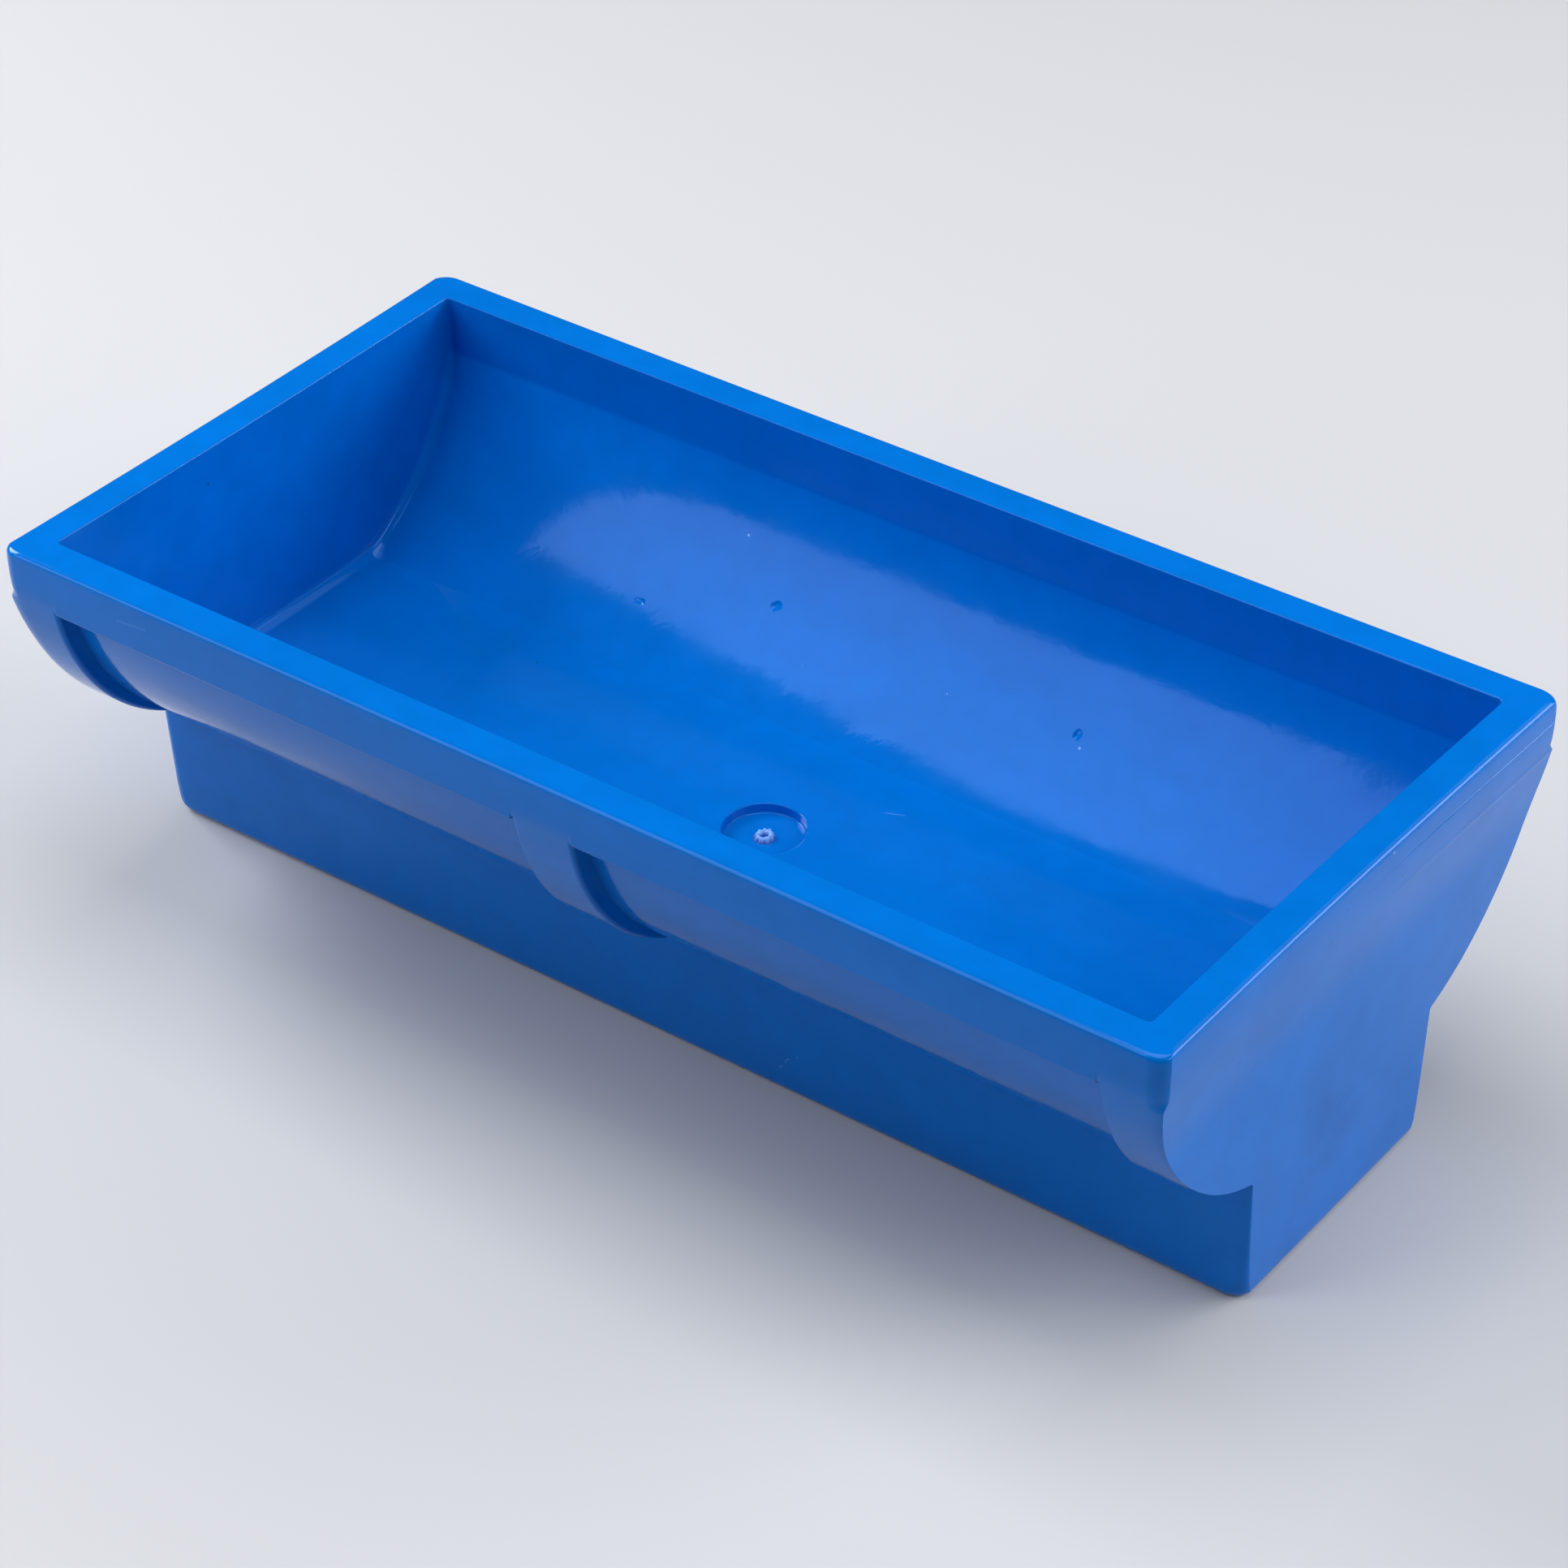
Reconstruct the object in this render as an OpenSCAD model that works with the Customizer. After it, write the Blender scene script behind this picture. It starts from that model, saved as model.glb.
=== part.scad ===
// Mud pan: a one-piece moulded plastic trough for joint compound.
// The moulding is drawn as its members: floor, curved walls, end walls, rim, grip ribs and hollow base.
// Millimetres. Origin on the ground under the middle of the pan: X along it, +Y to the back, +Z up.

/* [Overall] */
// Length over the rim
rim_length = 330; // [250:5:420]
// Width over the rim
rim_width = 162; // [140:2:200]
// Height from the ground to the top of the rim
height = 100; // [90:1:125]

/* [Rim] */
// Width of the flat top of the rim
rim_flat = 9.6; // [8.4:0.2:14]
// Height of the rim's outer face
rim_depth = 14.5; // [9:0.5:22]
// Corner radius of the rim, seen from above
rim_corner_r = 5; // [1:0.5:12]
// Depth of the upright band inside the mouth, above the curved walls
mouth_band = 16; // [15:0.5:26]

/* [Bowl] */
// Thickness of the rim and the end walls
wall = 3; // [2:0.1:3.8]
// Thickness of the curved walls just under the rim
bowl_wall = 4.2; // [3:0.1:5]
// Inside radius of the curved front and back walls
bowl_r = 73; // [60:1:140]
// Outside radius of the curved walls, between the ribs
panel_r = 69.5; // [60:0.5:140]
// Thickness of the pan's floor
floor_t = 3.5; // [3:0.1:6]
// Height of the hollow base, up to the underside of the floor
base_h = 36; // [24:1:46]

/* [Base] */
// Width of the base
base_width = 76; // [60:1:92]
// Thickness of the base's walls
base_wall = 4; // [2.8:0.1:6]
// How far the base stands outside the flat of the floor, each side
heel = 1.8; // [0.8:0.1:3]
// Radius of the base's lower outer edge
foot_r = 2.5; // [0.5:0.1:2.8]
// How far the rim stands outside the head of each end wall
end_step = 0.4; // [0:0.1:2]
// How far each end wall draws in from the rim to the ground
end_draw = 4; // [2:0.1:4.5]
// How much of that it draws in near the rim, and the height where that ends
end_flare = 2; // [0:0.1:2]
flare_z = 66; // [40:1:76]

/* [Grip ribs] */
// How far the ribs stand out of the curved walls under the rim
rib_proud = 4.7; // [2:0.1:5]
// Outside radius of the ribs
rib_r = 62.5; // [55:0.5:140]
// Width of the middle rib
mid_rib_w = 18; // [8:1:30]
// Distance from the middle of the pan to the inner face of each end rib
end_rib_x = 148; // [120:1:152]

/* [Gate mark] */
// Diameter of the round recess in the floor
gate_d = 20.6; // [12:0.2:30]
// Depth of that recess
gate_depth = 2.6; // [1:0.1:3]
// Diameter of the pad under the recess
gate_pad_d = 27; // [16:0.5:40]
// Thickness of the pad under the recess
gate_pad_t = 2.4; // [1:0.1:5]
// Diameter of the snapped-off sprue left in the recess
sprue_d = 5.4; // [3:0.1:8]
// Height of that stub
sprue_h = 1.3; // [0.5:0.1:1.8]

/* [Webs under the floor] */
// Distance between the three cross webs
web_pitch = 80; // [30:5:95]
// Thickness of each web
web_t = 2.4; // [1.6:0.1:4]
// Depth of each web below the floor
web_h = 22; // [6:1:23]

/* [Hidden] */

// Outer half sizes of the rim, and of the mouth inside it
rim_x = rim_length / 2;
rim_y = rim_width / 2;
mouth_x = rim_x - rim_flat;
mouth_y = rim_y - rim_flat;
// Underside of the rim's outer face, and the foot of the upright band
rim_z = height - rim_depth;
band_z = height - mouth_band;
// Base half width and half length, outside and inside
base_y = base_width / 2;
base_x = rim_x - end_step - end_draw;
base_in_y = base_y - base_wall;
base_in_x = base_x - base_wall;
// The flat of the floor
floor_y = base_y - heel;
floor_z = base_h + floor_t;
// Half width over the ribs, just under the rim, always inside the rim
rib_y = min(mouth_y + bowl_wall + rib_proud, rim_y - 0.2);
// Centres of the arcs, each worked out from its two ends and its radius
bowl_c = arc_centre([mouth_y, band_z], [floor_y, floor_z], bowl_r);
panel_c = arc_centre([mouth_y + bowl_wall, rim_z], [base_y, base_h], panel_r);
rib_c = arc_centre([rib_y, rim_z], [base_y, base_h], rib_r);
// Longer than anything that is cut
reach = rim_length + rim_width;
blue = "#0A6CDB";
pale_blue = "#6FA3E6";
$fn = 96;

// Centre of the arc of radius r from a down to b that bulges outwards and down
function arc_centre(a, b, r) =
    let (mid = (a + b) / 2, half = norm(a - b) / 2, along = (a - b) / norm(a - b))
    mid + sqrt(r * r - half * half) * [-along[1], along[0]];

// Sweeps an outline drawn in Y and Z along X
module along_x(from, to)
    translate([from, 0, 0]) rotate([90, 0, 90]) linear_extrude(to - from) children();

// Repeats its child on the front, at -Y, or leaves it at the back
module side_of(side)
    if (side == "front") mirror([0, 1, 0]) children(); else children();

// Rounded rectangle drawn about the origin
module rounded_plan(half_x, half_y, r) {
    square([2 * (half_x - r), 2 * half_y], center = true);
    square([2 * half_x, 2 * (half_y - r)], center = true);
    for (x = [-1, 1], y = [-1, 1])
        translate([x * (half_x - r), y * (half_y - r)]) circle(r);
}

// Everything between two heights, from the middle outwards
module height_band(low, high) translate([0, low]) square([reach, high - low]);

// Outline of a curved wall: the bowl's own surface inside, and its own arc outside
module wall_outline() difference() {
    intersection() {
        translate(panel_c) circle(panel_r, $fn = 200);
        translate([floor_y, base_h]) square([reach, rim_z - base_h]);
    }
    intersection() {
        translate(bowl_c) circle(bowl_r, $fn = 200);
        height_band(floor_z, band_z);
    }
    translate([0, band_z]) square([mouth_y, reach]);
}

// Half outline of the pan over its ribs, between the base and the rim
module ribbed_half() intersection() {
    translate(rib_c) circle(rib_r, $fn = 200);
    height_band(base_h, rim_z);
}

// Half outline of the base with its rounded foot
module base_half() {
    translate([0, foot_r]) square([base_y, base_h - foot_r]);
    square([base_y - foot_r, base_h]);
    translate([base_y - foot_r, foot_r]) circle(foot_r);
}

module pan_floor() color(blue) difference() {
    union() {
        translate([-mouth_x, -floor_y, base_h]) cube([2 * mouth_x, 2 * floor_y, floor_t]);
        translate([0, 0, base_h - gate_pad_t]) cylinder(h = gate_pad_t + floor_t / 2, d = gate_pad_d);
    }
    translate([0, 0, floor_z - gate_depth]) cylinder(h = gate_depth + 1, d = gate_d);
}

module sprue_stub() color(pale_blue)
    translate([0, 0, floor_z - gate_depth]) cylinder(h = sprue_h, d1 = sprue_d, d2 = sprue_d - 1);

module curved_wall(side) color(blue) side_of(side)
    along_x(-mouth_x, mouth_x) wall_outline();

// An end wall: flat, drawn in towards the ground, from the rim down to the foot of the base
module end_wall(hand) color(blue) mirror([hand < 0 ? 1 : 0, 0, 0]) intersection() {
    along_x(0, reach) for (m = [0, 1]) mirror([m, 0]) { ribbed_half(); base_half(); }
    rotate([90, 0, 0]) translate([0, 0, -reach / 2]) linear_extrude(reach)
        polygon([[base_in_x, 0], [base_x - foot_r, 0], [base_x, foot_r],
            [rim_x - end_step - end_flare, flare_z], [rim_x - end_step, rim_z],
            [mouth_x, rim_z], [mouth_x, base_h], [base_in_x, base_h]]);
}

// The rim all round: a flat top with a skirt outside, the mouth's band inside and a channel between
module rim_ring() difference() {
    translate([0, 0, rim_z]) linear_extrude(rim_depth) rounded_plan(rim_x, rim_y, rim_corner_r);
    translate([-mouth_x, -mouth_y, 0]) cube([2 * mouth_x, 2 * mouth_y, 2 * height]);
    difference() {
        translate([0, 0, rim_z - 1]) linear_extrude(rim_depth - wall + 1)
            rounded_plan(rim_x - wall, rim_y - wall, max(rim_corner_r - wall, 0.5));
        translate([-mouth_x - wall, -mouth_y - wall, 0])
            cube([2 * (mouth_x + wall), 2 * (mouth_y + wall), 2 * height]);
    }
}

// One side of the rim, mitred at its corners: turn is 0 at the back, 90 left, 180 front, 270 right
module rim_side(turn) color(blue) intersection() {
    rim_ring();
    translate([0, 0, rim_z - 1]) linear_extrude(rim_depth + 2) rotate(turn)
        polygon(turn % 180 == 0
            ? [[-mouth_x, mouth_y], [mouth_x, mouth_y], [mouth_x + reach, mouth_y + reach],
                [-mouth_x - reach, mouth_y + reach]]
            : [[-mouth_y, mouth_x], [mouth_y, mouth_x], [mouth_y + reach, mouth_x + reach],
                [-mouth_y - reach, mouth_x + reach]]);
}

module base_wall(side) color(blue) side_of(side) along_x(-base_in_x, base_in_x) intersection() {
    base_half();
    translate([base_in_y, 0]) square([reach, base_h]);
}

// A grip rib, with the web that carries it up into the channel of the rim
module grip_rib(side, from, to) color(blue) side_of(side) {
    along_x(from, to) difference() {
        ribbed_half();
        square([base_y, base_h + floor_t]);
        translate(panel_c) circle(panel_r, $fn = 200);
    }
    translate([from, mouth_y + wall, rim_z])
        cube([to - from, rim_flat - 2 * wall, rim_depth - wall]);
}

module left_rib(side) grip_rib(side, -mouth_x, -end_rib_x);
module middle_rib(side) grip_rib(side, -mid_rib_w / 2, mid_rib_w / 2);
module right_rib(side) grip_rib(side, end_rib_x, mouth_x);

// A cross web under the floor, let in round the pad of the gate mark
module underside_web(x) color(blue) difference() {
    translate([x - web_t / 2, -base_in_y, base_h - web_h])
        cube([web_t, 2 * base_in_y, web_h]);
    translate([0, 0, base_h - gate_pad_t]) cylinder(h = gate_pad_t + 1, d = gate_pad_d);
}

pan_floor();
sprue_stub();
curved_wall("front");  // front_wall
curved_wall("back");  // back_wall
end_wall(-1);  // left_end_wall
end_wall(1);  // right_end_wall
rim_side(180);  // front_rim
rim_side(0);  // back_rim
rim_side(90);  // left_rim
rim_side(270);  // right_rim
base_wall("front");  // base_front_wall
base_wall("back");  // base_back_wall
left_rib("front");  // front_left_grip_rib
middle_rib("front");  // front_middle_grip_rib
right_rib("front");  // front_right_grip_rib
left_rib("back");  // back_left_grip_rib
middle_rib("back");  // back_middle_grip_rib
right_rib("back");  // back_right_grip_rib
underside_web(-web_pitch);  // left_underside_web
underside_web(0);  // middle_underside_web
underside_web(web_pitch);  // right_underside_web
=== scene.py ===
from math import atan2, cos, exp, pi, radians, sin, sqrt

import bmesh
import bpy
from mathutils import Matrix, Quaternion, Vector


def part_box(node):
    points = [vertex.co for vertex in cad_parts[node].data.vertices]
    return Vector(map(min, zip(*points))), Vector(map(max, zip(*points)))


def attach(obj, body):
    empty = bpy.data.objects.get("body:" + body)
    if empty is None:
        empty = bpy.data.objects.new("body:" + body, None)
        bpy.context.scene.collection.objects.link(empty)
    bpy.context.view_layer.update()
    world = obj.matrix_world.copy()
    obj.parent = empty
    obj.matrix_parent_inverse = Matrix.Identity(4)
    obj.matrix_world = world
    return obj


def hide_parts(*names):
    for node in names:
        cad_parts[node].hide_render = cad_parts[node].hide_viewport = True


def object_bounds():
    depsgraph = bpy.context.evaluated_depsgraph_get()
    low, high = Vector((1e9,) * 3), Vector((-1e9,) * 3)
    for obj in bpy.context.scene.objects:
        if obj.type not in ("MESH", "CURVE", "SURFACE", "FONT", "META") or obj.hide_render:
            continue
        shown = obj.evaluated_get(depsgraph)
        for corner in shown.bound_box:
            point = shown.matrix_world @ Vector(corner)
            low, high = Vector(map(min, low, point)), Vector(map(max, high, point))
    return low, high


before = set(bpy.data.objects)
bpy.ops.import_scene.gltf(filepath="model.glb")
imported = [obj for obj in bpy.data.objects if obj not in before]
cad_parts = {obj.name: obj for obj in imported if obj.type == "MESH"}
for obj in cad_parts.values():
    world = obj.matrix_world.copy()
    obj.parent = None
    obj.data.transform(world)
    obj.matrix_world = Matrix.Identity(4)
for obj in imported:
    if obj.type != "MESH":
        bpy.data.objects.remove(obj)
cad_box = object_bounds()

# ---------------------------------------------------------------------------------------------
# Camera. It stands in front of the pan and to its right, and looks down into it. Its turn is
# about the upright, its height is an angle up from the floor, and its roll is about its own view.
# ---------------------------------------------------------------------------------------------
camera_turn = radians(37.52)
camera_height = radians(35.96)
camera_roll = radians(-1.07)
camera_distance = 1.1194
look_at = Vector((0.00107, 0.0067, 0.04928))

camera_data = bpy.data.cameras.new("camera")
camera_data.sensor_width = 36
camera_data.lens = 107.8
toward_camera = Vector((sin(camera_turn) * cos(camera_height),
                        -cos(camera_turn) * cos(camera_height), sin(camera_height)))
camera = bpy.data.objects.new("camera", camera_data)
camera.location = look_at + toward_camera * camera_distance
camera.rotation_mode = "QUATERNION"
camera.rotation_quaternion = ((-toward_camera).to_track_quat("-Z", "Y")
                              @ Quaternion((0, 0, 1), camera_roll))
bpy.context.collection.objects.link(camera)
bpy.context.scene.camera = camera

# ---------------------------------------------------------------------------------------------
# The pan. One injection moulding in blue polypropylene: rim, bowl, grip ribs and hollow base.
# It is a loft, a rounded rectangle that changes size on its way from the middle of the
# underside, down the inside of the base, up the outside, over the rim and down into the bowl.
# ---------------------------------------------------------------------------------------------
MM = 0.001

# Sizes that the frame gives, in millimetres
height = cad_box[1].z / MM
rim_x = cad_box[1].x / MM
rim_y = cad_box[1].y / MM
rim_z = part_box("back_rim")[0].z / MM
mouth_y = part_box("back_rim")[0].y / MM
mouth_x = rim_x - (rim_y - mouth_y)
floor_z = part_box("pan_floor")[1].z / MM
floor_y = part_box("pan_floor")[1].y / MM
pad_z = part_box("pan_floor")[0].z / MM
base_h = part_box("base_back_wall")[1].z / MM
base_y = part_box("base_back_wall")[1].y / MM
skirt_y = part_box("base_back_wall")[0].y / MM
skirt_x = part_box("base_back_wall")[1].x / MM
panel_head_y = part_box("back_wall")[1].y / MM
rib_head_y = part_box("back_middle_grip_rib")[1].y / MM
mid_rib_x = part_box("back_middle_grip_rib")[1].x / MM
end_rib_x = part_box("back_right_grip_rib")[0].x / MM

# Sizes of the moulding's own detail
wall = 3.0
band_z = height - 16
bowl_r = 73.0
panel_r = 69.5
rib_r = 62.5
rib_side = 0.4
rib_edge_r = 1.3
foot_r = 2.5
foot_x = skirt_x + 4
end_lean = 1.4 / 60
flare_foot_z = 66.0
rim_edge_r = 1.7
mouth_corner_r = 1.3
bowl_corner_r = 3.0
bowl_corner_rise = 2.4
recess_r = 10.3
recess_z = floor_z - 2.6
pad_r = 13.5
lip_z = rim_z + 0.9
witness_z = 93.85
crisp_strip = 0.25
top_corner = 6.4
recess_wall_r = recess_r - 0.1
groove_in_y = panel_head_y + 0.8
groove_out_y = rim_y - wall

# A corner seen from above: how far its curve goes along the pan and across it, and the angle at
# which it leaves the flat end face, so that a crisp edge is left there
crisp = radians(27)
rim_corner = (5.0, 5.0, crisp)
end_corner = (5.0, 1.5, crisp)


def arc_centre(top, foot, radius):
    """Centre of the arc from top down to foot that bulges outwards and down, in Y and Z."""
    top, foot = Vector(top), Vector(foot)
    rise = sqrt(radius ** 2 - ((top - foot).length / 2) ** 2)
    along = (top - foot).normalized()
    return (top + foot) / 2 + rise * Vector((-along.y, along.x))


def arc_points(centre, radius, start_z, end_z, count):
    """Points along the arc from one height to another, evenly spaced."""
    def turn(z):
        y = sqrt(radius ** 2 - (z - centre.y) ** 2)
        return -Vector((1, 0)).angle_signed(Vector((y, z - centre.y)))
    start, end = turn(start_z), turn(end_z)
    turns = [start + (end - start) * k / count for k in range(count + 1)]
    return [(centre.x + radius * cos(t), centre.y + radius * sin(t)) for t in turns]


def soften(before, corner, after, steps):
    """The small curve that rounds a corner, as points of as many numbers as it is given."""
    return [tuple((1 - t) ** 2 * p + 2 * t * (1 - t) * q + t * t * r
                  for p, q, r in zip(before, corner, after))
            for t in (k / steps for k in range(steps + 1))]


def part_way(a, b, share):
    """The point part of the way from a to b."""
    return tuple(p + (q - p) * share for p, q in zip(a, b))


def smooth(t):
    """Goes gently from 0 to 1 as t does."""
    t = min(max(t, 0), 1)
    return t * t * (3 - 2 * t)


def end_face_x(z):
    """Half length over the end faces, nearly upright and then flaring out under the rim."""
    flare = rim_x - foot_x - end_lean * witness_z
    return foot_x + end_lean * z + flare * smooth((z - flare_foot_z) / (witness_z - flare_foot_z))


def base_corner(z):
    """The base's corners, small under the wall and rounder towards the foot."""
    share = 1 - z / base_h
    extra = 1.5 * max(1 - z / 8, 0) ** 2
    return (2 + 2.2 * share + extra, 0.8 + 2.6 * share + extra, crisp * (1 - 0.6 * share))


bowl_centre = arc_centre((mouth_y, band_z), (floor_y, floor_z), bowl_r)
panel_centre = arc_centre((panel_head_y, rim_z), (base_y, base_h), panel_r)
rib_centre = arc_centre((rib_head_y, rim_z), (base_y, base_h), rib_r)
rows = []


def add_row(half_x, half_y, corner, z, panel=None, circle=None, share=0, outside=False):
    """One row of the loft. Its corner is a radius, or the reach along and across with the angle
    that leaves a crisp edge. The panels between the ribs have their own half width and height; a
    row near the gate mark is a circle, or a share of the way from it to the rectangle."""
    rows.append((half_x, half_y, corner, z, panel or (half_y, z), circle, share, outside))


# Underside: the pad below the gate mark, the ceiling of the hollow base, the inside of its walls
for radius, z in ([(3, pad_z), (8, pad_z)]
                  + soften((pad_r - 0.7, pad_z), (pad_r, pad_z), (pad_r, pad_z + 0.7), 3)
                  + soften((pad_r, base_h - 0.7), (pad_r, base_h), (pad_r + 0.7, base_h), 3)):
    add_row(0, 0, 0, z, circle=radius)
for share in (0.08, 0.2, 0.4, 0.6, 0.8, 1):
    add_row(skirt_x - 1.2, skirt_y - 1.2, 0.8, base_h, circle=pad_r + 0.7, share=share)
for inset, z in soften((1, base_h), (0, base_h), (0, base_h - 1), 3):
    add_row(skirt_x - inset, skirt_y - inset, 1.5, z)
add_row(skirt_x, skirt_y, 1.5, base_h / 2)
for inset, z in soften((0, 0.4), (0, 0), (-0.4, 0), 2):
    add_row(skirt_x - inset, skirt_y - inset, 1.5, z)

# Outside of the base, from its rounded foot up to the break below the curved wall
for k in range(7):
    turn = k / 6 * pi / 2
    inset = foot_r * (1 - sin(turn))
    add_row(foot_x - inset, base_y - inset, base_corner(foot_r * (1 - cos(turn))),
            foot_r * (1 - cos(turn)), outside=True)
for z in (4, 8, 14, 20, 26, 32):
    add_row(end_face_x(z), base_y, base_corner(z), z, outside=True)

# The curved walls: the ribs on one arc, and the panels between them on a flatter one
rib_arc = arc_points(rib_centre, rib_r, base_h, rim_z - 1.5, 26)
panel_arc = arc_points(panel_centre, panel_r, base_h, rim_z - 0.4, 26)
for arc in (rib_arc, panel_arc):
    arc[0:1] = soften((base_y, base_h - 0.7), arc[0], part_way(arc[0], arc[1], 0.35), 3)
for (y, z), panel in zip(rib_arc, panel_arc):
    corner = part_way(base_corner(base_h), end_corner, smooth((z - base_h) / 15))
    add_row(end_face_x(z), y, corner, z, panel, outside=True)

# Under the rim: the ribs and ends run on into its face, and the panels stop at a flat ledge
ledge = soften(panel_arc[-1], (panel_head_y + 0.3, lip_z), (groove_in_y, lip_z), 3)[1:]
groove_row = len(rows) + len(ledge) - 1
ledge.append((groove_out_y, lip_z))
ledge += soften((rim_y - 0.9, lip_z), (rim_y - 0.1, lip_z), (rim_y - 0.1, lip_z + 0.8), 4)
sweep_y, sweep_turn_z, sweep_end_z = rim_y - 0.05, 88.2, 90.5
sweep = [Vector(rib_arc[-1]), Vector(rib_arc[-1]) + Vector((0.35, 2.2)),
         Vector((sweep_y, sweep_turn_z)), Vector((sweep_y, sweep_end_z))]
for k, panel in enumerate(ledge, 1):
    t = k / len(ledge)
    y, z = ((1 - t) ** 3 * sweep[0] + 3 * t * (1 - t) ** 2 * sweep[1]
            + 3 * t * t * (1 - t) * sweep[2] + t ** 3 * sweep[3])
    corner = part_way(end_corner, rim_corner, smooth((z - 85.2) / 2.6))
    add_row(end_face_x(z), y, corner, z, panel, outside=True)

# The rim's outer face, its rounded top edge, its flat top and the edge of the mouth
for z in (92.2, 93.5, witness_z - 0.2, witness_z, witness_z + 0.2, 94.3, 96.5):
    add_row(end_face_x(z), rim_y, rim_corner, z, outside=True)
for inset, z in soften((0, height - rim_edge_r), (0, height), (rim_edge_r, height), 6):
    corner = part_way(rim_corner, (top_corner, top_corner, 0.6 * crisp), inset / rim_edge_r)
    add_row(rim_x - inset, rim_y - inset, corner, z, outside=True)
for inset in (2.2, 4.8, 7.4):
    add_row(rim_x - inset, rim_y - inset, top_corner - 0.6 * inset, height)
for inset, z in soften((0.6, height), (0, height), (0, height - 0.6), 4):
    add_row(mouth_x + inset, mouth_y + inset, mouth_corner_r + inset, z)

# The bowl: an upright band, then the curved walls, then the flat floor
for z in (98, 94, 90, 86):
    add_row(mouth_x, mouth_y, mouth_corner_r, z)
bowl_arc = arc_points(bowl_centre, bowl_r, band_z, floor_z, 32)
bowl_arc[0:1] = soften((mouth_y, band_z + 0.6), bowl_arc[0], part_way(*bowl_arc[:2], 0.35), 2)
bowl_arc[-1:] = soften(part_way(*bowl_arc[:-3:-1], 0.15), bowl_arc[-1], (floor_y - 0.3, floor_z), 2)
for y, z in bowl_arc:
    corner = mouth_corner_r + (bowl_corner_r - mouth_corner_r) * min(max((band_z - z) / 7, 0), 1)
    sunk = 1 - min((z - floor_z) / bowl_corner_rise, 1)
    add_row(mouth_x - bowl_corner_r * (1 - sqrt(1 - sunk ** 2)), y, corner, z)
for share in (1, 0.85, 0.7, 0.55, 0.4, 0.25, 0.12, 0.05, 0):
    add_row(mouth_x - bowl_corner_r - 0.8, floor_y - 1.4, bowl_corner_r - 1, floor_z,
            circle=recess_r + 0.8, share=share)
for radius, z in (soften((recess_r + 0.4, floor_z), (recess_r, floor_z), (recess_r, floor_z - 0.4), 4)
                  + soften((recess_wall_r, recess_z + 0.6), (recess_wall_r, recess_z),
                           (recess_wall_r - 0.6, recess_z), 4)
                  + [(6, recess_z), (3, recess_z), (1, recess_z)]):
    add_row(0, 0, 0, z, circle=radius)

# Columns along a long side crowd at the edges of the ribs
rib_edge_steps = [rib_edge_r * s for s in (1, 0.72, 0.48, 0.28, 0.13, 0.035, 0)]
rib_edge_steps += [-rib_side * s for s in (0.3, 0.6, 0.75, 0.87, 1, 1.15)]
mid_edge_x, end_edge_x = mid_rib_x - rib_side, end_rib_x + rib_side
panel_from, panel_to = mid_rib_x + 0.6, end_rib_x - 0.6
panel_columns = 26
half_columns = [2.4, 4.6] + [mid_edge_x - step for step in rib_edge_steps]
half_columns += [panel_from + (panel_to - panel_from) * k / panel_columns
                 for k in range(panel_columns + 1)]
half_columns += [end_edge_x + step for step in reversed(rib_edge_steps)]
half_columns += [153, 155, 157.5]
last_column = 160
long_columns = [-x for x in reversed(half_columns)] + [0] + half_columns
end_columns = [k / 11 for k in range(-11, 12)]
corner_steps = 7


def witness(y, z):
    """How far the rim's lower edge stands out across an end face, and the mould's parting line is
    cut into it. Both are strongest at the back."""
    rise = 0.12 * exp(-((z - rim_z) / 0.5) ** 2) - 0.22 * exp(-((z - witness_z) / 0.1) ** 2)
    return smooth((y + 25) / 90) * rise


def ring_points(row):
    """The points of one row, anticlockwise from the right end, each with how far a rib rises."""
    half_x, half_y, corner, z, (panel_y, panel_z), circle, share, outside = row
    along, across, start = corner if isinstance(corner, tuple) else (corner, corner, 0)
    edge_y = half_y - across * (1 - sin(start))
    last_x = half_x - along * cos(start)
    knee = end_edge_x + rib_edge_r if outside else 100
    turns = [start + (pi / 2 - start) * k / corner_steps for k in range(corner_steps + 1)]
    places = []
    for quarter, (sx, sy) in enumerate(((1, 1), (-1, 1), (-1, -1), (1, -1))):
        if quarter % 2 == 0:
            for v in end_columns:
                y = sy * v * (edge_y - crisp_strip)
                ridge = witness(y, z) if outside else 0
                places.append((Vector((sx * (half_x + ridge), y, z)), Vector()))
        for t in turns if quarter % 2 == 0 else turns[::-1]:
            x = last_x + along * cos(t)
            y = half_y - across * (1 - sin(t))
            ridge = witness(sy * y, z) * cos(t) ** 2 if outside else 0
            places.append((Vector((sx * (x + ridge), sy * y, z)), Vector()))
        if quarter % 2 == 0:
            rise = Vector((0, sy * (half_y - panel_y), z - panel_z))
            for x in long_columns[::-sx]:
                reach = abs(x)
                if reach > knee:
                    reach = knee + (reach - knee) * (last_x - knee) / (last_column - knee)
                places.append((Vector((reach if x > 0 else -reach, sy * panel_y, panel_z)), rise))
    if circle is not None:
        middle = (len(end_columns) - 1) / 2
        for k, (place, _) in enumerate(places):
            turn = 2 * pi * (k - middle) / len(places)
            flat = Vector((place.x, place.y)) * share
            flat += Vector((cos(turn), sin(turn))) * circle * (1 - share)
            places[k] = (Vector((flat.x, flat.y, z)), Vector())
    return places


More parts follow.
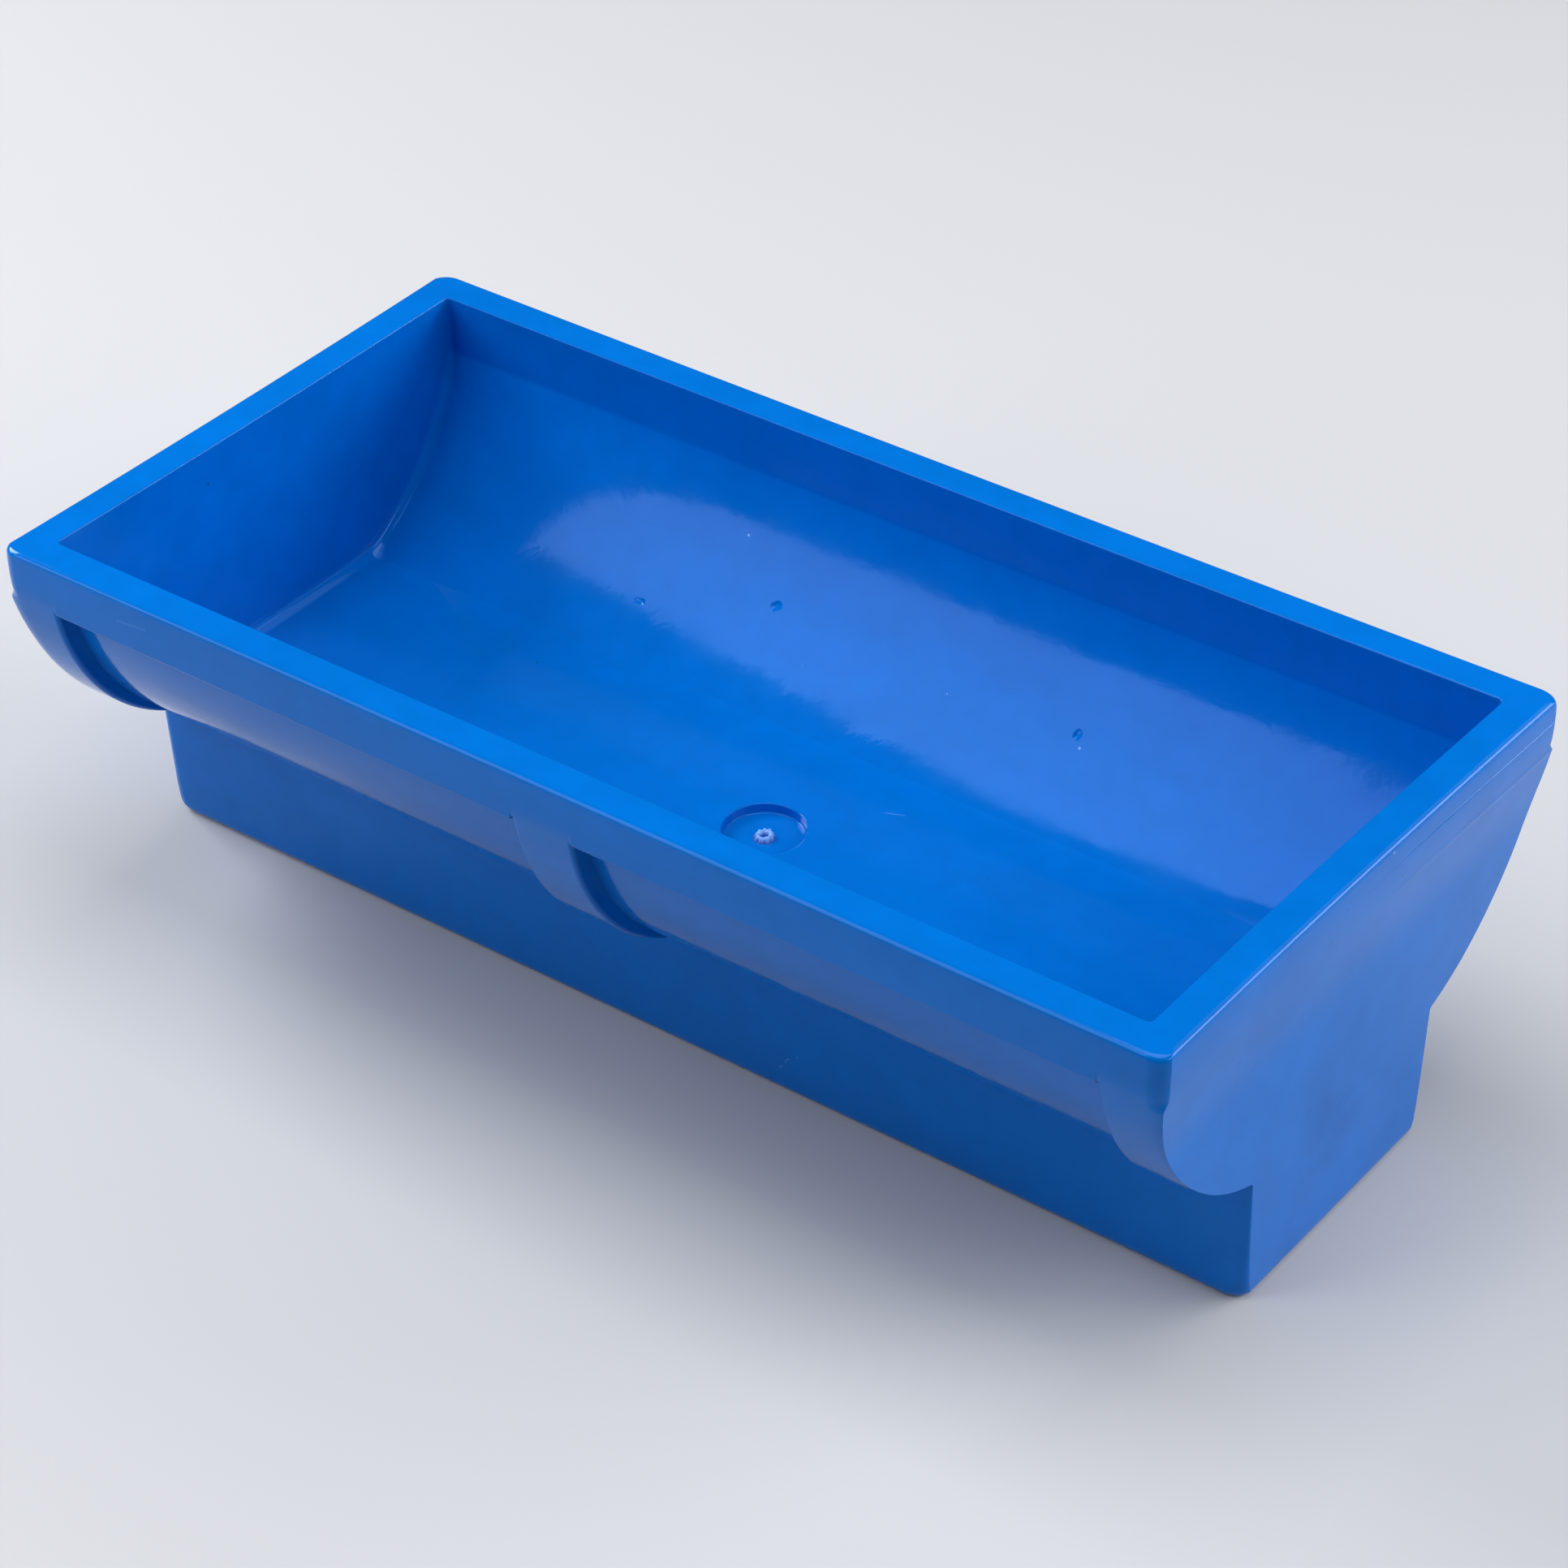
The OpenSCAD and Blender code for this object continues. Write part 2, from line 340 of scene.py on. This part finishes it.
shell = bmesh.new()
rise_layer = shell.verts.layers.float_vector.new("rib_rise")
rings = []
for row in rows:
    ring = []
    for place, rise in ring_points(row):
        vert = shell.verts.new(place * MM)
        vert[rise_layer] = rise * MM
        ring.append(vert)
    rings.append(ring)
columns = len(rings[0])
groove_faces = []
for j, (lower, upper) in enumerate(zip(rings, rings[1:])):
    for k in range(columns):
        m = (k + 1) % columns
        face = shell.faces.new((lower[k], lower[m], upper[m], upper[k]))
        span = sorted(abs(v.co.x) / MM for v in (lower[k], lower[m]))
        on_side = lower[k][rise_layer].length > 0 and lower[m][rise_layer].length > 0
        if j == groove_row and on_side and span[0] > panel_from - 0.1 and span[1] < panel_to + 0.1:
            groove_faces.append(face)
for ring, z in ((rings[0], pad_z), (rings[-1], recess_z)):
    pole = shell.verts.new((0, 0, z * MM))
    for k in range(columns):
        shell.faces.new((ring[k], ring[(k + 1) % columns], pole))

# The groove under the rim, open below between the ribs
raised = bmesh.ops.extrude_face_region(shell, geom=groove_faces)
bmesh.ops.delete(shell, geom=groove_faces, context="FACES_ONLY")
for vert in (v for v in raised["geom"] if isinstance(v, bmesh.types.BMVert)):
    vert.co.z = (height - wall) * MM
bmesh.ops.recalc_face_normals(shell, faces=shell.faces)
pan_mesh = bpy.data.meshes.new("pan_moulding")
shell.to_mesh(pan_mesh)
shell.free()
pan = bpy.data.objects.new("pan_moulding", pan_mesh)
bpy.context.collection.objects.link(pan)


def linear(hex_colour):
    """A colour written as sRGB hex, in the linear values that a shader takes."""
    parts = [int(hex_colour[k:k + 2], 16) / 255 for k in (1, 3, 5)]
    return [p / 12.92 if p <= 0.04045 else ((p + 0.055) / 1.055) ** 2.4 for p in parts] + [1]


def add_node(tree, kind, inputs=None, **settings):
    """Adds a node, sets it, and fills its inputs with values, sockets or the nodes before it."""
    made = tree.nodes.new(kind)
    for name, value in settings.items():
        setattr(made, name, value)
    for key, value in (inputs or {}).items():
        if isinstance(value, bpy.types.Node):
            value = value.outputs[0]
        if isinstance(value, bpy.types.NodeSocket):
            tree.links.new(value, made.inputs[key])
        else:
            made.inputs[key].default_value = value
    return made


# Injection moulded polypropylene, coloured through with a blue pigment. To the eye it is a strong
# even blue with a soft gloss: the polished mould leaves a faint orange peel, the melt leaves pale
# and dark streaks along its flow, and use leaves fine scratches, dents and specks.
blue_polypropylene = bpy.data.materials.new("moulded_blue_polypropylene")
blue_polypropylene.use_nodes = True
blue = blue_polypropylene.node_tree
plastic = blue.nodes["Principled BSDF"]
plastic.inputs["IOR"].default_value = 1.49
plastic.inputs["Specular IOR Level"].default_value = 0.42
plastic.inputs["Specular Tint"].default_value = linear("#94B9FF")
coordinates = add_node(blue, "ShaderNodeTexCoord").outputs["Object"]
in_mm = add_node(blue, "ShaderNodeVectorMath", {0: coordinates, "Scale": 1 / MM}, operation="SCALE")


def pattern(size_mm, detail=2.0, stretch=(1, 1, 1), offset=(0, 0, 0)):
    """Noise whose lumps are about that many millimetres across."""
    placed = add_node(blue, "ShaderNodeMapping", {0: in_mm, "Location": offset, "Scale": stretch})
    return add_node(blue, "ShaderNodeTexNoise", {"Vector": placed, "Scale": 1 / size_mm,
                                                 "Detail": detail, "Roughness": 0.55}).outputs[0]


def strongest(marks):
    """The strongest of several marks at each place."""
    most = marks[0]
    for mark in marks[1:]:
        most = add_node(blue, "ShaderNodeMath", {0: most, 1: mark}, operation="MAXIMUM")
    return most


def scratch_mark(start, end, width, wander=0.0):
    """1 along a line from start to end, in millimetres, fading to 0 a whole width away from it."""
    start, end = Vector(start), Vector(end)
    way = (end - start).normalized()
    local = add_node(blue, "ShaderNodeVectorMath", {0: in_mm, 1: start}, operation="SUBTRACT")
    if wander:
        sway = add_node(blue, "ShaderNodeTexNoise", {"Vector": in_mm, "Scale": 0.12})
        sway = add_node(blue, "ShaderNodeVectorMath",
                        {0: sway.outputs["Color"], 1: (0.5, 0.5, 0.5)}, operation="SUBTRACT")
        sway = add_node(blue, "ShaderNodeVectorMath", {0: sway, "Scale": wander}, operation="SCALE")
        local = add_node(blue, "ShaderNodeVectorMath", {0: local, 1: sway})
    run = add_node(blue, "ShaderNodeVectorMath", {0: local, 1: way}, operation="DOT_PRODUCT")
    run = add_node(blue, "ShaderNodeClamp", {0: run.outputs["Value"], 1: 0.0, 2: (end - start).length})
    foot = add_node(blue, "ShaderNodeVectorMath", {0: way, "Scale": run}, operation="SCALE")
    away = add_node(blue, "ShaderNodeVectorMath", {0: local, 1: foot}, operation="DISTANCE")
    return add_node(blue, "ShaderNodeMapRange", {0: away.outputs["Value"], 2: width, 3: 1.0, 4: 0.0})


# Colour: pigment streaks along the flow from the gate, and smaller clouds
streaks = add_node(blue, "ShaderNodeMapRange", {0: pattern(34, 3.0, (0.35, 1, 1)), 1: 0.3, 2: 0.7, 4: 0.7})
clouds = add_node(blue, "ShaderNodeMapRange", {0: pattern(9), 1: 0.35, 2: 0.65, 4: 0.3})
tone = add_node(blue, "ShaderNodeMath", {0: streaks, 1: clouds})

# Wear: scratches on the front rim and front wall, the base and inside the bowl, and a scuffed
# patch on the right end
scratched = strongest([scratch_mark(*line) for line in (
    ((-128, -81, 93.5), (-119, -81, 94.4), 0.4),
    ((-22, -78, 77.9), (-21.5, -78, 77.7), 0.5),
    ((-26.5, 52, 51), (-25.5, 49.5, 48.7), 0.3, 1.5),
    ((28.7, -38, 3), (39, -38, 14), 0.35, 8.0),
    ((20, 22, floor_z), (24, 24, floor_z), 0.3, 2.0),
    ((70, -20, floor_z), (84, -24, floor_z), 0.2, 4.0))])
rubbed = add_node(blue, "ShaderNodeMapRange", {0: pattern(6, 3.0), 1: 0.3, 2: 0.7, 3: 0.3, 4: 1.0})
scuff = add_node(blue, "ShaderNodeMath", {0: scratch_mark((162, -8, 36), (162, 0, 28), 13.0), 1: rubbed},
                 operation="MULTIPLY")
scuff = add_node(blue, "ShaderNodeMapRange", {0: scuff, 1: 0.1, 2: 0.7})

# Specks: dust and pigment grains up to 0.9 mm across with their faded edge. A grain shows only
# where the surface passes through it, which comes to about one to every 60 mm each way
grains = add_node(blue, "ShaderNodeTexVoronoi", {"Vector": in_mm, "Scale": 1 / 11})
speck = add_node(blue, "ShaderNodeMapRange",
                 {0: grains.outputs["Distance"], 1: 0.020, 2: 0.042, 3: 1.0, 4: 0.0})
grain_kind = add_node(blue, "ShaderNodeSeparateColor", {0: grains.outputs["Color"]})

# Each layer of colour goes over the ones before it, as far as its cover says
layers = [(tone, "#006CCB")]
for mark, strength, paint in ((scratched, 0.35, "#6FA6EE"), (scuff, 0.30, "#0A4C9C")):
    cover = add_node(blue, "ShaderNodeMath", {0: mark, 1: strength}, operation="MULTIPLY")
    layers.append((cover, paint))
for channel, rarity, strength, paint in (("Red", 0.70, 0.75, "#04357A"), ("Green", 0.86, 0.8, "#8FBAF2")):
    chosen = add_node(blue, "ShaderNodeMapRange",
                      {0: grain_kind.outputs[channel], 1: rarity, 2: rarity + 0.02, 4: strength})
    cover = add_node(blue, "ShaderNodeMath", {0: speck, 1: chosen}, operation="MULTIPLY")
    layers.append((cover, paint))
colour = linear("#0063BA")
for cover, paint in layers:
    colour = add_node(blue, "ShaderNodeMix", {0: cover, 6: colour, 7: linear(paint)},
                      data_type="RGBA").outputs[2]
blue.links.new(colour, plastic.inputs["Base Color"])

# Gloss: satin, patchy where the mould is less polished, dull in the scratches and the scuff
gloss = add_node(blue, "ShaderNodeMapRange", {0: pattern(16), 1: 0.3, 2: 0.7, 3: 0.07, 4: 0.14})
for mark, dulling in ((scratched, 0.25), (scuff, 0.15)):
    gloss = add_node(blue, "ShaderNodeMath", {0: mark, 1: dulling, 2: gloss}, operation="MULTIPLY_ADD")
blue.links.new(gloss.outputs[0], plastic.inputs["Roughness"])

# Relief: sink marks over 30 mm, orange peel over 5 mm, a spark-eroded grain drawn at 1.2 mm
# because the real 0.1 mm would not show, and three small dents
dented = strongest([scratch_mark(place, Vector(place) + Vector(way), size) for place, way, size in (
    ((-39.6, 57.3, 56.6), (0.9, 0, 0.9), 1.3), ((51.6, 56.3, 55.4), (0.2, 0, 1.2), 1.2),
    ((-77.2, 49.2, 48.3), (1.6, 0, 0.3), 0.9))])
dented = add_node(blue, "ShaderNodeMath", {0: dented, 1: -1.0}, operation="MULTIPLY")
relief = None
for height_value, depth_mm in ((pattern(30, 1.0), 0.26), (pattern(5, 3.0), 0.035),
                               (pattern(1.2, 1.0), 0.008), (dented, 0.30)):
    inputs = {"Height": height_value, "Distance": depth_mm * MM, "Strength": 1.0}
    if relief:
        inputs["Normal"] = relief
    relief = add_node(blue, "ShaderNodeBump", inputs)
blue.links.new(relief.outputs[0], plastic.inputs["Normal"])

# The ribs are raised on the walls by a rule: full height inside each rib, a rounded edge, and a
# steep side down to the panel
rib_tree = bpy.data.node_groups.new("raise_grip_ribs", "GeometryNodeTree")


def name_inputs(tree, rows_of_inputs, result):
    """Gives a tree its named inputs and its result, and returns each input's socket and value."""
    sockets = [(tree.interface.new_socket(name, in_out="INPUT", socket_type="NodeSocket" + kind), value)
               for name, kind, value in rows_of_inputs]
    tree.interface.new_socket(result, in_out="OUTPUT", socket_type="NodeSocketGeometry")
    return sockets


rib_inputs = name_inputs(rib_tree, (
    ("Pan", "Geometry", None),
    ("Middle Rib Half Width", "Float", mid_edge_x * MM),
    ("End Rib Start", "Float", end_edge_x * MM),
    ("Edge Radius", "Float", rib_edge_r * MM),
    ("Side Slope", "Float", (rib_head_y - panel_head_y) / rib_side),
    ("Plastic", "Material", blue_polypropylene)), "Pan")
given = add_node(rib_tree, "NodeGroupInput").outputs
along = add_node(rib_tree, "ShaderNodeSeparateXYZ", {0: add_node(rib_tree, "GeometryNodeInputPosition")})
rise = add_node(rib_tree, "GeometryNodeInputNamedAttribute", {"Name": "rib_rise"},
                data_type="FLOAT_VECTOR")
full = add_node(rib_tree, "ShaderNodeVectorMath", {0: rise}, operation="LENGTH").outputs["Value"]
sums = {"along": along.outputs["X"], "full rise": full, "middle": given["Middle Rib Half Width"],
        "end": given["End Rib Start"], "radius": given["Edge Radius"], "slope": given["Side Slope"]}
for result, operation, *terms in (
        ("reach", "ABSOLUTE", "along"),
        ("in middle", "SUBTRACT", "middle", "reach"),
        ("in end", "SUBTRACT", "reach", "end"),
        ("inside", "MAXIMUM", "in middle", "in end"),
        ("to flat", "SUBTRACT", "radius", "inside"),
        ("to flat", "MAXIMUM", "to flat", 0.0),
        ("to flat", "MINIMUM", "to flat", "radius"),
        ("square radius", "POWER", "radius", 2.0),
        ("square reach", "POWER", "to flat", 2.0),
        ("round", "SUBTRACT", "square radius", "square reach"),
        ("round", "SQRT", "round"),
        ("round drop", "SUBTRACT", "radius", "round"),
        ("beyond", "MULTIPLY", "inside", -1.0),
        ("beyond", "MAXIMUM", "beyond", 0.0),
        ("drop", "MULTIPLY_ADD", "beyond", "slope", "round drop"),
        ("full rise", "MAXIMUM", "full rise", 1e-7),
        ("lost", "DIVIDE", "drop", "full rise"),
        ("lost", "MINIMUM", "lost", 1.0),
        ("kept", "SUBTRACT", 1.0, "lost")):
    sums[result] = add_node(rib_tree, "ShaderNodeMath",
                            {k: sums.get(term, term) for k, term in enumerate(terms)},
                            operation=operation)
offset = add_node(rib_tree, "ShaderNodeVectorMath", {0: rise, "Scale": sums["kept"]},
                  operation="SCALE")
moved = add_node(rib_tree, "GeometryNodeSetPosition",
                 {"Geometry": given["Pan"], "Offset": offset})
realized = add_node(rib_tree, "GeometryNodeRealizeInstances", {"Geometry": moved})
painted = add_node(rib_tree, "GeometryNodeSetMaterial",
                   {"Geometry": realized, "Material": given["Plastic"]})
add_node(rib_tree, "NodeGroupOutput", {0: painted})


def grow(piece, tree, inputs):
    """Runs a Geometry Nodes tree on a piece with its inputs set, and keeps the result as a mesh."""
    modifier = piece.modifiers.new(tree.name, "NODES")
    modifier.node_group = tree
    for socket, value in inputs:
        if value is not None:
            modifier[socket.identifier] = value
    graph = bpy.context.evaluated_depsgraph_get()
    grown = bpy.data.meshes.new_from_object(piece.evaluated_get(graph))
    piece.modifiers.remove(modifier)
    piece.data = grown


grow(pan, rib_tree, rib_inputs)

# The moulding shrank unevenly as it cooled: the ends and long sides bow in by under 1 mm at the
# rim, and it is a hair out of square. A small burr stands on the edge of the gate recess.
end_bow, side_bow, out_of_square = 0.8, 0.4, 0.55
burr_height, burr_width, burr_at, burr_spread = 0.35, 0.4, 0.35, 0.07
for vert in pan.data.vertices:
    x, y, z = vert.co / MM
    give = smooth((z - base_h) / (rim_z - base_h))
    vert.co.x += give * MM * (out_of_square * y / rim_y
                              - end_bow * x / rim_x * (1 - (y / rim_y) ** 2))
    vert.co.y -= give * MM * side_bow * y / rim_y * (1 - (x / rim_x) ** 2)
    off_edge = abs(sqrt(x * x + y * y) - recess_r - 0.1)
    if off_edge < burr_width and abs(z - floor_z) < 0.3:
        swell = exp(-((atan2(y, x) - burr_at) / burr_spread) ** 2)
        vert.co.z += burr_height * MM * (1 - off_edge / burr_width) * swell
pan.data.shade_smooth()
pan.data.set_sharp_from_angle(angle=radians(50))
even_normals = pan.modifiers.new("even_normals", "WEIGHTED_NORMAL")
even_normals.mode = "FACE_AREA"
even_normals.keep_sharp = True
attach(pan, "root")
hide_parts("pan_floor", "front_wall", "back_wall", "left_end_wall", "right_end_wall",
            "front_rim", "back_rim", "left_rim", "right_rim", "base_front_wall", "base_back_wall",
            "front_left_grip_rib", "front_middle_grip_rib", "front_right_grip_rib",
            "back_left_grip_rib", "back_middle_grip_rib", "back_right_grip_rib")

# ---------------------------------------------------------------------------------------------
# Webs under the floor. Three cross walls of the same moulding that stiffen the hollow base, a
# little thinner at their lower edge so that they leave the mould. They run into the ceiling and
# the base's walls.
# ---------------------------------------------------------------------------------------------
web_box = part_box("left_underside_web")
web_pitch = -(web_box[0].x + web_box[1].x) / 2
web_root = 0.3 * MM
web_tree = bpy.data.node_groups.new("underside_webs", "GeometryNodeTree")
web_inputs = name_inputs(web_tree, (
    ("Count", "Int", 3),
    ("Pitch", "Float", web_pitch),
    ("Thickness", "Float", web_box[1].x - web_box[0].x),
    ("Edge Thickness", "Float", 1.8 * MM),
    ("Edge Radius", "Float", 0.6 * MM),
    ("Depth", "Float", web_box[1].z - web_box[0].z + web_root),
    ("Half Length", "Float", web_box[1].y + web_root),
    ("Top Height", "Float", web_box[1].z + web_root),
    ("Plastic", "Material", blue_polypropylene)), "Webs")
given = add_node(web_tree, "NodeGroupInput").outputs
back_end = add_node(web_tree, "ShaderNodeCombineXYZ", {"Y": given["Half Length"]})
front_end = add_node(web_tree, "ShaderNodeVectorMath", {0: back_end, "Scale": -1.0}, operation="SCALE")
run = add_node(web_tree, "GeometryNodeCurvePrimitiveLine", {"Start": front_end, "End": back_end})
outline = add_node(web_tree, "GeometryNodeCurvePrimitiveQuadrilateral",
                   {"Bottom Width": given["Thickness"], "Top Width": given["Edge Thickness"],
                    "Height": given["Depth"], "Offset": 0.0}, mode="TRAPEZOID")
outline = add_node(web_tree, "GeometryNodeFilletCurve",
                   {"Curve": outline, "Count": 4, "Radius": given["Edge Radius"]}, mode="POLY")
web = add_node(web_tree, "GeometryNodeCurveToMesh",
               {"Curve": run, "Profile Curve": outline, "Fill Caps": True})
sunk_half = add_node(web_tree, "ShaderNodeMath", {0: given["Depth"], 1: -0.5, 2: given["Top Height"]},
                     operation="MULTIPLY_ADD")
first_x = add_node(web_tree, "ShaderNodeMath", {0: given["Pitch"], 1: -1.0}, operation="MULTIPLY")
first = add_node(web_tree, "ShaderNodeCombineXYZ", {"X": first_x, "Z": sunk_half})
step = add_node(web_tree, "ShaderNodeCombineXYZ", {"X": given["Pitch"]})
places = add_node(web_tree, "GeometryNodeMeshLine",
                  {"Count": given["Count"], "Start Location": first, "Offset": step})
placed_webs = add_node(web_tree, "GeometryNodeInstanceOnPoints", {"Points": places, "Instance": web})
realized = add_node(web_tree, "GeometryNodeRealizeInstances", {"Geometry": placed_webs})
painted = add_node(web_tree, "GeometryNodeSetMaterial",
                   {"Geometry": realized, "Material": given["Plastic"]})
add_node(web_tree, "NodeGroupOutput", {0: painted})

webs = bpy.data.objects.new("underside_webs", bpy.data.meshes.new("underside_webs"))
bpy.context.collection.objects.link(webs)
grow(webs, web_tree, web_inputs)
web_mesh = bmesh.new()
web_mesh.from_mesh(webs.data)
bmesh.ops.remove_doubles(web_mesh, verts=web_mesh.verts, dist=0.001 * MM)
bmesh.ops.recalc_face_normals(web_mesh, faces=web_mesh.faces)
web_mesh.to_mesh(webs.data)
web_mesh.free()
webs.data.shade_smooth()
webs.data.set_sharp_from_angle(angle=radians(40))
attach(webs, "root")
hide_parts("left_underside_web", "middle_underside_web", "right_underside_web")

# ---------------------------------------------------------------------------------------------
# Sprue stub. What is left of the plastic that fed the mould: it was twisted off, which stretched
# a pale ring and tore a ragged hole in its middle. It stands in the gate recess.
# ---------------------------------------------------------------------------------------------
stub_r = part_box("sprue_stub")[1].x / MM
stub_h = (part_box("sprue_stub")[1].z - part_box("sprue_stub")[0].z) / MM
stub_columns = 120
tear_share = 0.66
stub_root = 0.6
# From the bottom of the tear, out over the pale ring and down into the recess: the share of the
# stub's radius, and of its height
stub_profile = [(0.06, -0.35), (0.14, -0.3), (0.22, -0.12), (0.3, 0.2), (0.38, 0.52), (0.46, 0.8),
                (0.53, 0.94), (0.6, 1.0), (0.67, 0.96), (0.74, 0.84), (0.8, 0.6), (0.86, 0.34),
                (0.92, 0.14), (1.0, 0.02), (1.04, -0.2)]
stub_shell = bmesh.new()
stub_rings = []
for share, rise in stub_profile:
    ring = []
    for k in range(stub_columns):
        t = 2 * pi * k / stub_columns
        torn = 0.5 + 0.5 * cos(5 * t + 0.8 + 0.9 * sin(2 * t))
        ragged = 0.05 * sin(9 * t + 1) + 0.035 * sin(17 * t + 2) + 0.02 * sin(31 * t)
        hole = max(1 - share / tear_share, 0)
        reach = stub_r * share * (1 + ragged * (1 - 0.6 * hole) + 0.55 * torn * hole)
        lift = stub_h * rise * (1 + 0.16 * sin(t + 1) + 2.2 * ragged * (share > 0.4))
        ring.append(stub_shell.verts.new(Vector((reach * cos(t), reach * sin(t),
                                                 recess_z + lift)) * MM))
    stub_rings.append(ring)
for inner, outer in zip(stub_rings, stub_rings[1:]):
    for k in range(stub_columns):
        m = (k + 1) % stub_columns
        stub_shell.faces.new((inner[k], outer[k], outer[m], inner[m]))
for ring, pole_z in ((stub_rings[0], recess_z - 0.3 * stub_h), (stub_rings[-1], recess_z - stub_root)):
    pole = stub_shell.verts.new((0, 0, pole_z * MM))
    for k in range(stub_columns):
        stub_shell.faces.new((ring[k], ring[(k + 1) % stub_columns], pole))
bmesh.ops.recalc_face_normals(stub_shell, faces=stub_shell.faces)
stub_mesh = bpy.data.meshes.new("sprue_stub_torn")
stub_shell.to_mesh(stub_mesh)
stub_shell.free()
stub_mesh.shade_smooth()
stub = bpy.data.objects.new("sprue_stub_torn", stub_mesh)
bpy.context.collection.objects.link(stub)

# Torn polypropylene: stretching fills it with tiny voids, so it is pale, milky and quite dull where it
# stands high, while the bottom of the tear and the foot in the recess are painted a deeper blue than the
# moulding, as painted shade in the hole
torn_polypropylene = bpy.data.materials.new("torn_stress_whitened_polypropylene")
torn_polypropylene.use_nodes = True
torn_tree = torn_polypropylene.node_tree
torn_plastic = torn_tree.nodes["Principled BSDF"]
torn_plastic.inputs["IOR"].default_value = 1.49
torn_plastic.inputs["Roughness"].default_value = 0.6
place = add_node(torn_tree, "ShaderNodeTexCoord").outputs["Object"]
fibres = add_node(torn_tree, "ShaderNodeTexNoise", {"Vector": place, "Scale": 1 / (0.5 * MM),
                                                    "Detail": 4.0})
depth = add_node(torn_tree, "ShaderNodeSeparateXYZ", {0: place})
fibre_lift = add_node(torn_tree, "ShaderNodeMath", {0: fibres, 1: 0.5 * MM, 2: depth.outputs["Z"]},
                      operation="MULTIPLY_ADD")
whitening_over_painted_shade = add_node(torn_tree, "ShaderNodeMapRange",
                    {0: fibre_lift, 1: (recess_z + 0.35) * MM, 2: (recess_z + 1.2) * MM})
# Pale at the high parts is the stress whitening; the deep blue at the low parts is painted shade
stub_colour = add_node(torn_tree, "ShaderNodeMix",
                       {0: whitening_over_painted_shade, 6: linear("#0B4FAE"), 7: linear("#86B6F2")}, data_type="RGBA")
torn_tree.links.new(stub_colour.outputs[2], torn_plastic.inputs["Base Color"])
fibre_relief = add_node(torn_tree, "ShaderNodeBump", {"Height": fibres, "Distance": 0.12 * MM})
torn_tree.links.new(fibre_relief.outputs[0], torn_plastic.inputs["Normal"])
stub_mesh.materials.append(torn_polypropylene)
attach(stub, "root")
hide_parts("sprue_stub")

# ---------------------------------------------------------------------------------------------
# Floor and light. A plain pale floor like matt paper, with soft boxes round the pan: one above,
# one above and behind, one at each side, one behind to the right and one in front to the left.
# ---------------------------------------------------------------------------------------------
floor_mesh = bpy.data.meshes.new("floor")
floor_half = 1.6
floor_mesh.from_pydata([(-floor_half, -floor_half, 0), (floor_half, -floor_half, 0),
                        (floor_half, floor_half, 0), (-floor_half, floor_half, 0)], [], [(0, 1, 2, 3)])
floor = bpy.data.objects.new("floor", floor_mesh)
bpy.context.collection.objects.link(floor)
pale_floor = bpy.data.materials.new("matt_white_paper")
pale_floor.use_nodes = True
paper = pale_floor.node_tree.nodes["Principled BSDF"]
paper.inputs["Base Color"].default_value = linear("#BFC1C5")
paper.inputs["Roughness"].default_value = 0.9
floor_mesh.materials.append(pale_floor)

world = bpy.data.worlds.new("studio")
bpy.context.scene.world = world
world.use_nodes = True
room = world.node_tree.nodes["Background"]
room.inputs["Color"].default_value = linear("#DDE2EA")
# The room is dim, so that the soft boxes do the lighting, but it is seen as a pale backdrop
room_light, backdrop_light = 0.03, 0.85
seen = add_node(world.node_tree, "ShaderNodeLightPath").outputs["Is Camera Ray"]
backdrop = add_node(world.node_tree, "ShaderNodeMapRange", {0: seen, 3: room_light, 4: backdrop_light})
world.node_tree.links.new(backdrop.outputs[0], room.inputs["Strength"])
bpy.context.scene.view_settings.view_transform = "Standard"


def soft_box(name, place, aim, width, depth, power):
    """An area light of that size, facing the aim."""
    lamp_data = bpy.data.lights.new(name, "AREA")
    lamp_data.shape = "RECTANGLE"
    lamp_data.size = width
    lamp_data.size_y = depth
    lamp_data.energy = power
    lamp = bpy.data.objects.new(name, lamp_data)
    lamp.location = place
    lamp.rotation_mode = "QUATERNION"
    lamp.rotation_quaternion = (Vector(aim) - Vector(place)).to_track_quat("-Z", "Y")
    bpy.context.collection.objects.link(lamp)


pan_middle = (0, 0, 0.05)
soft_box("top_box", (0, 0.1, 1.5), pan_middle, 1.0, 0.8, 9.5)
soft_box("top_back_box", (0.35, 0.95, 1.05), pan_middle, 0.9, 0.6, 1.5)
soft_box("left_box", (-1.3, 0, 0.9), pan_middle, 0.7, 0.6, 16.5)
soft_box("right_box", (1.2, 0.1, 0.9), pan_middle, 0.8, 0.6, 6)
soft_box("right_back_box", (1.1, 1.0, 0.6), pan_middle, 0.9, 0.7, 16)
soft_box("front_left_box", (-0.51, -0.75, 0.77), (0, 0.03, 0.06), 0.64, 1.25, 7.8)
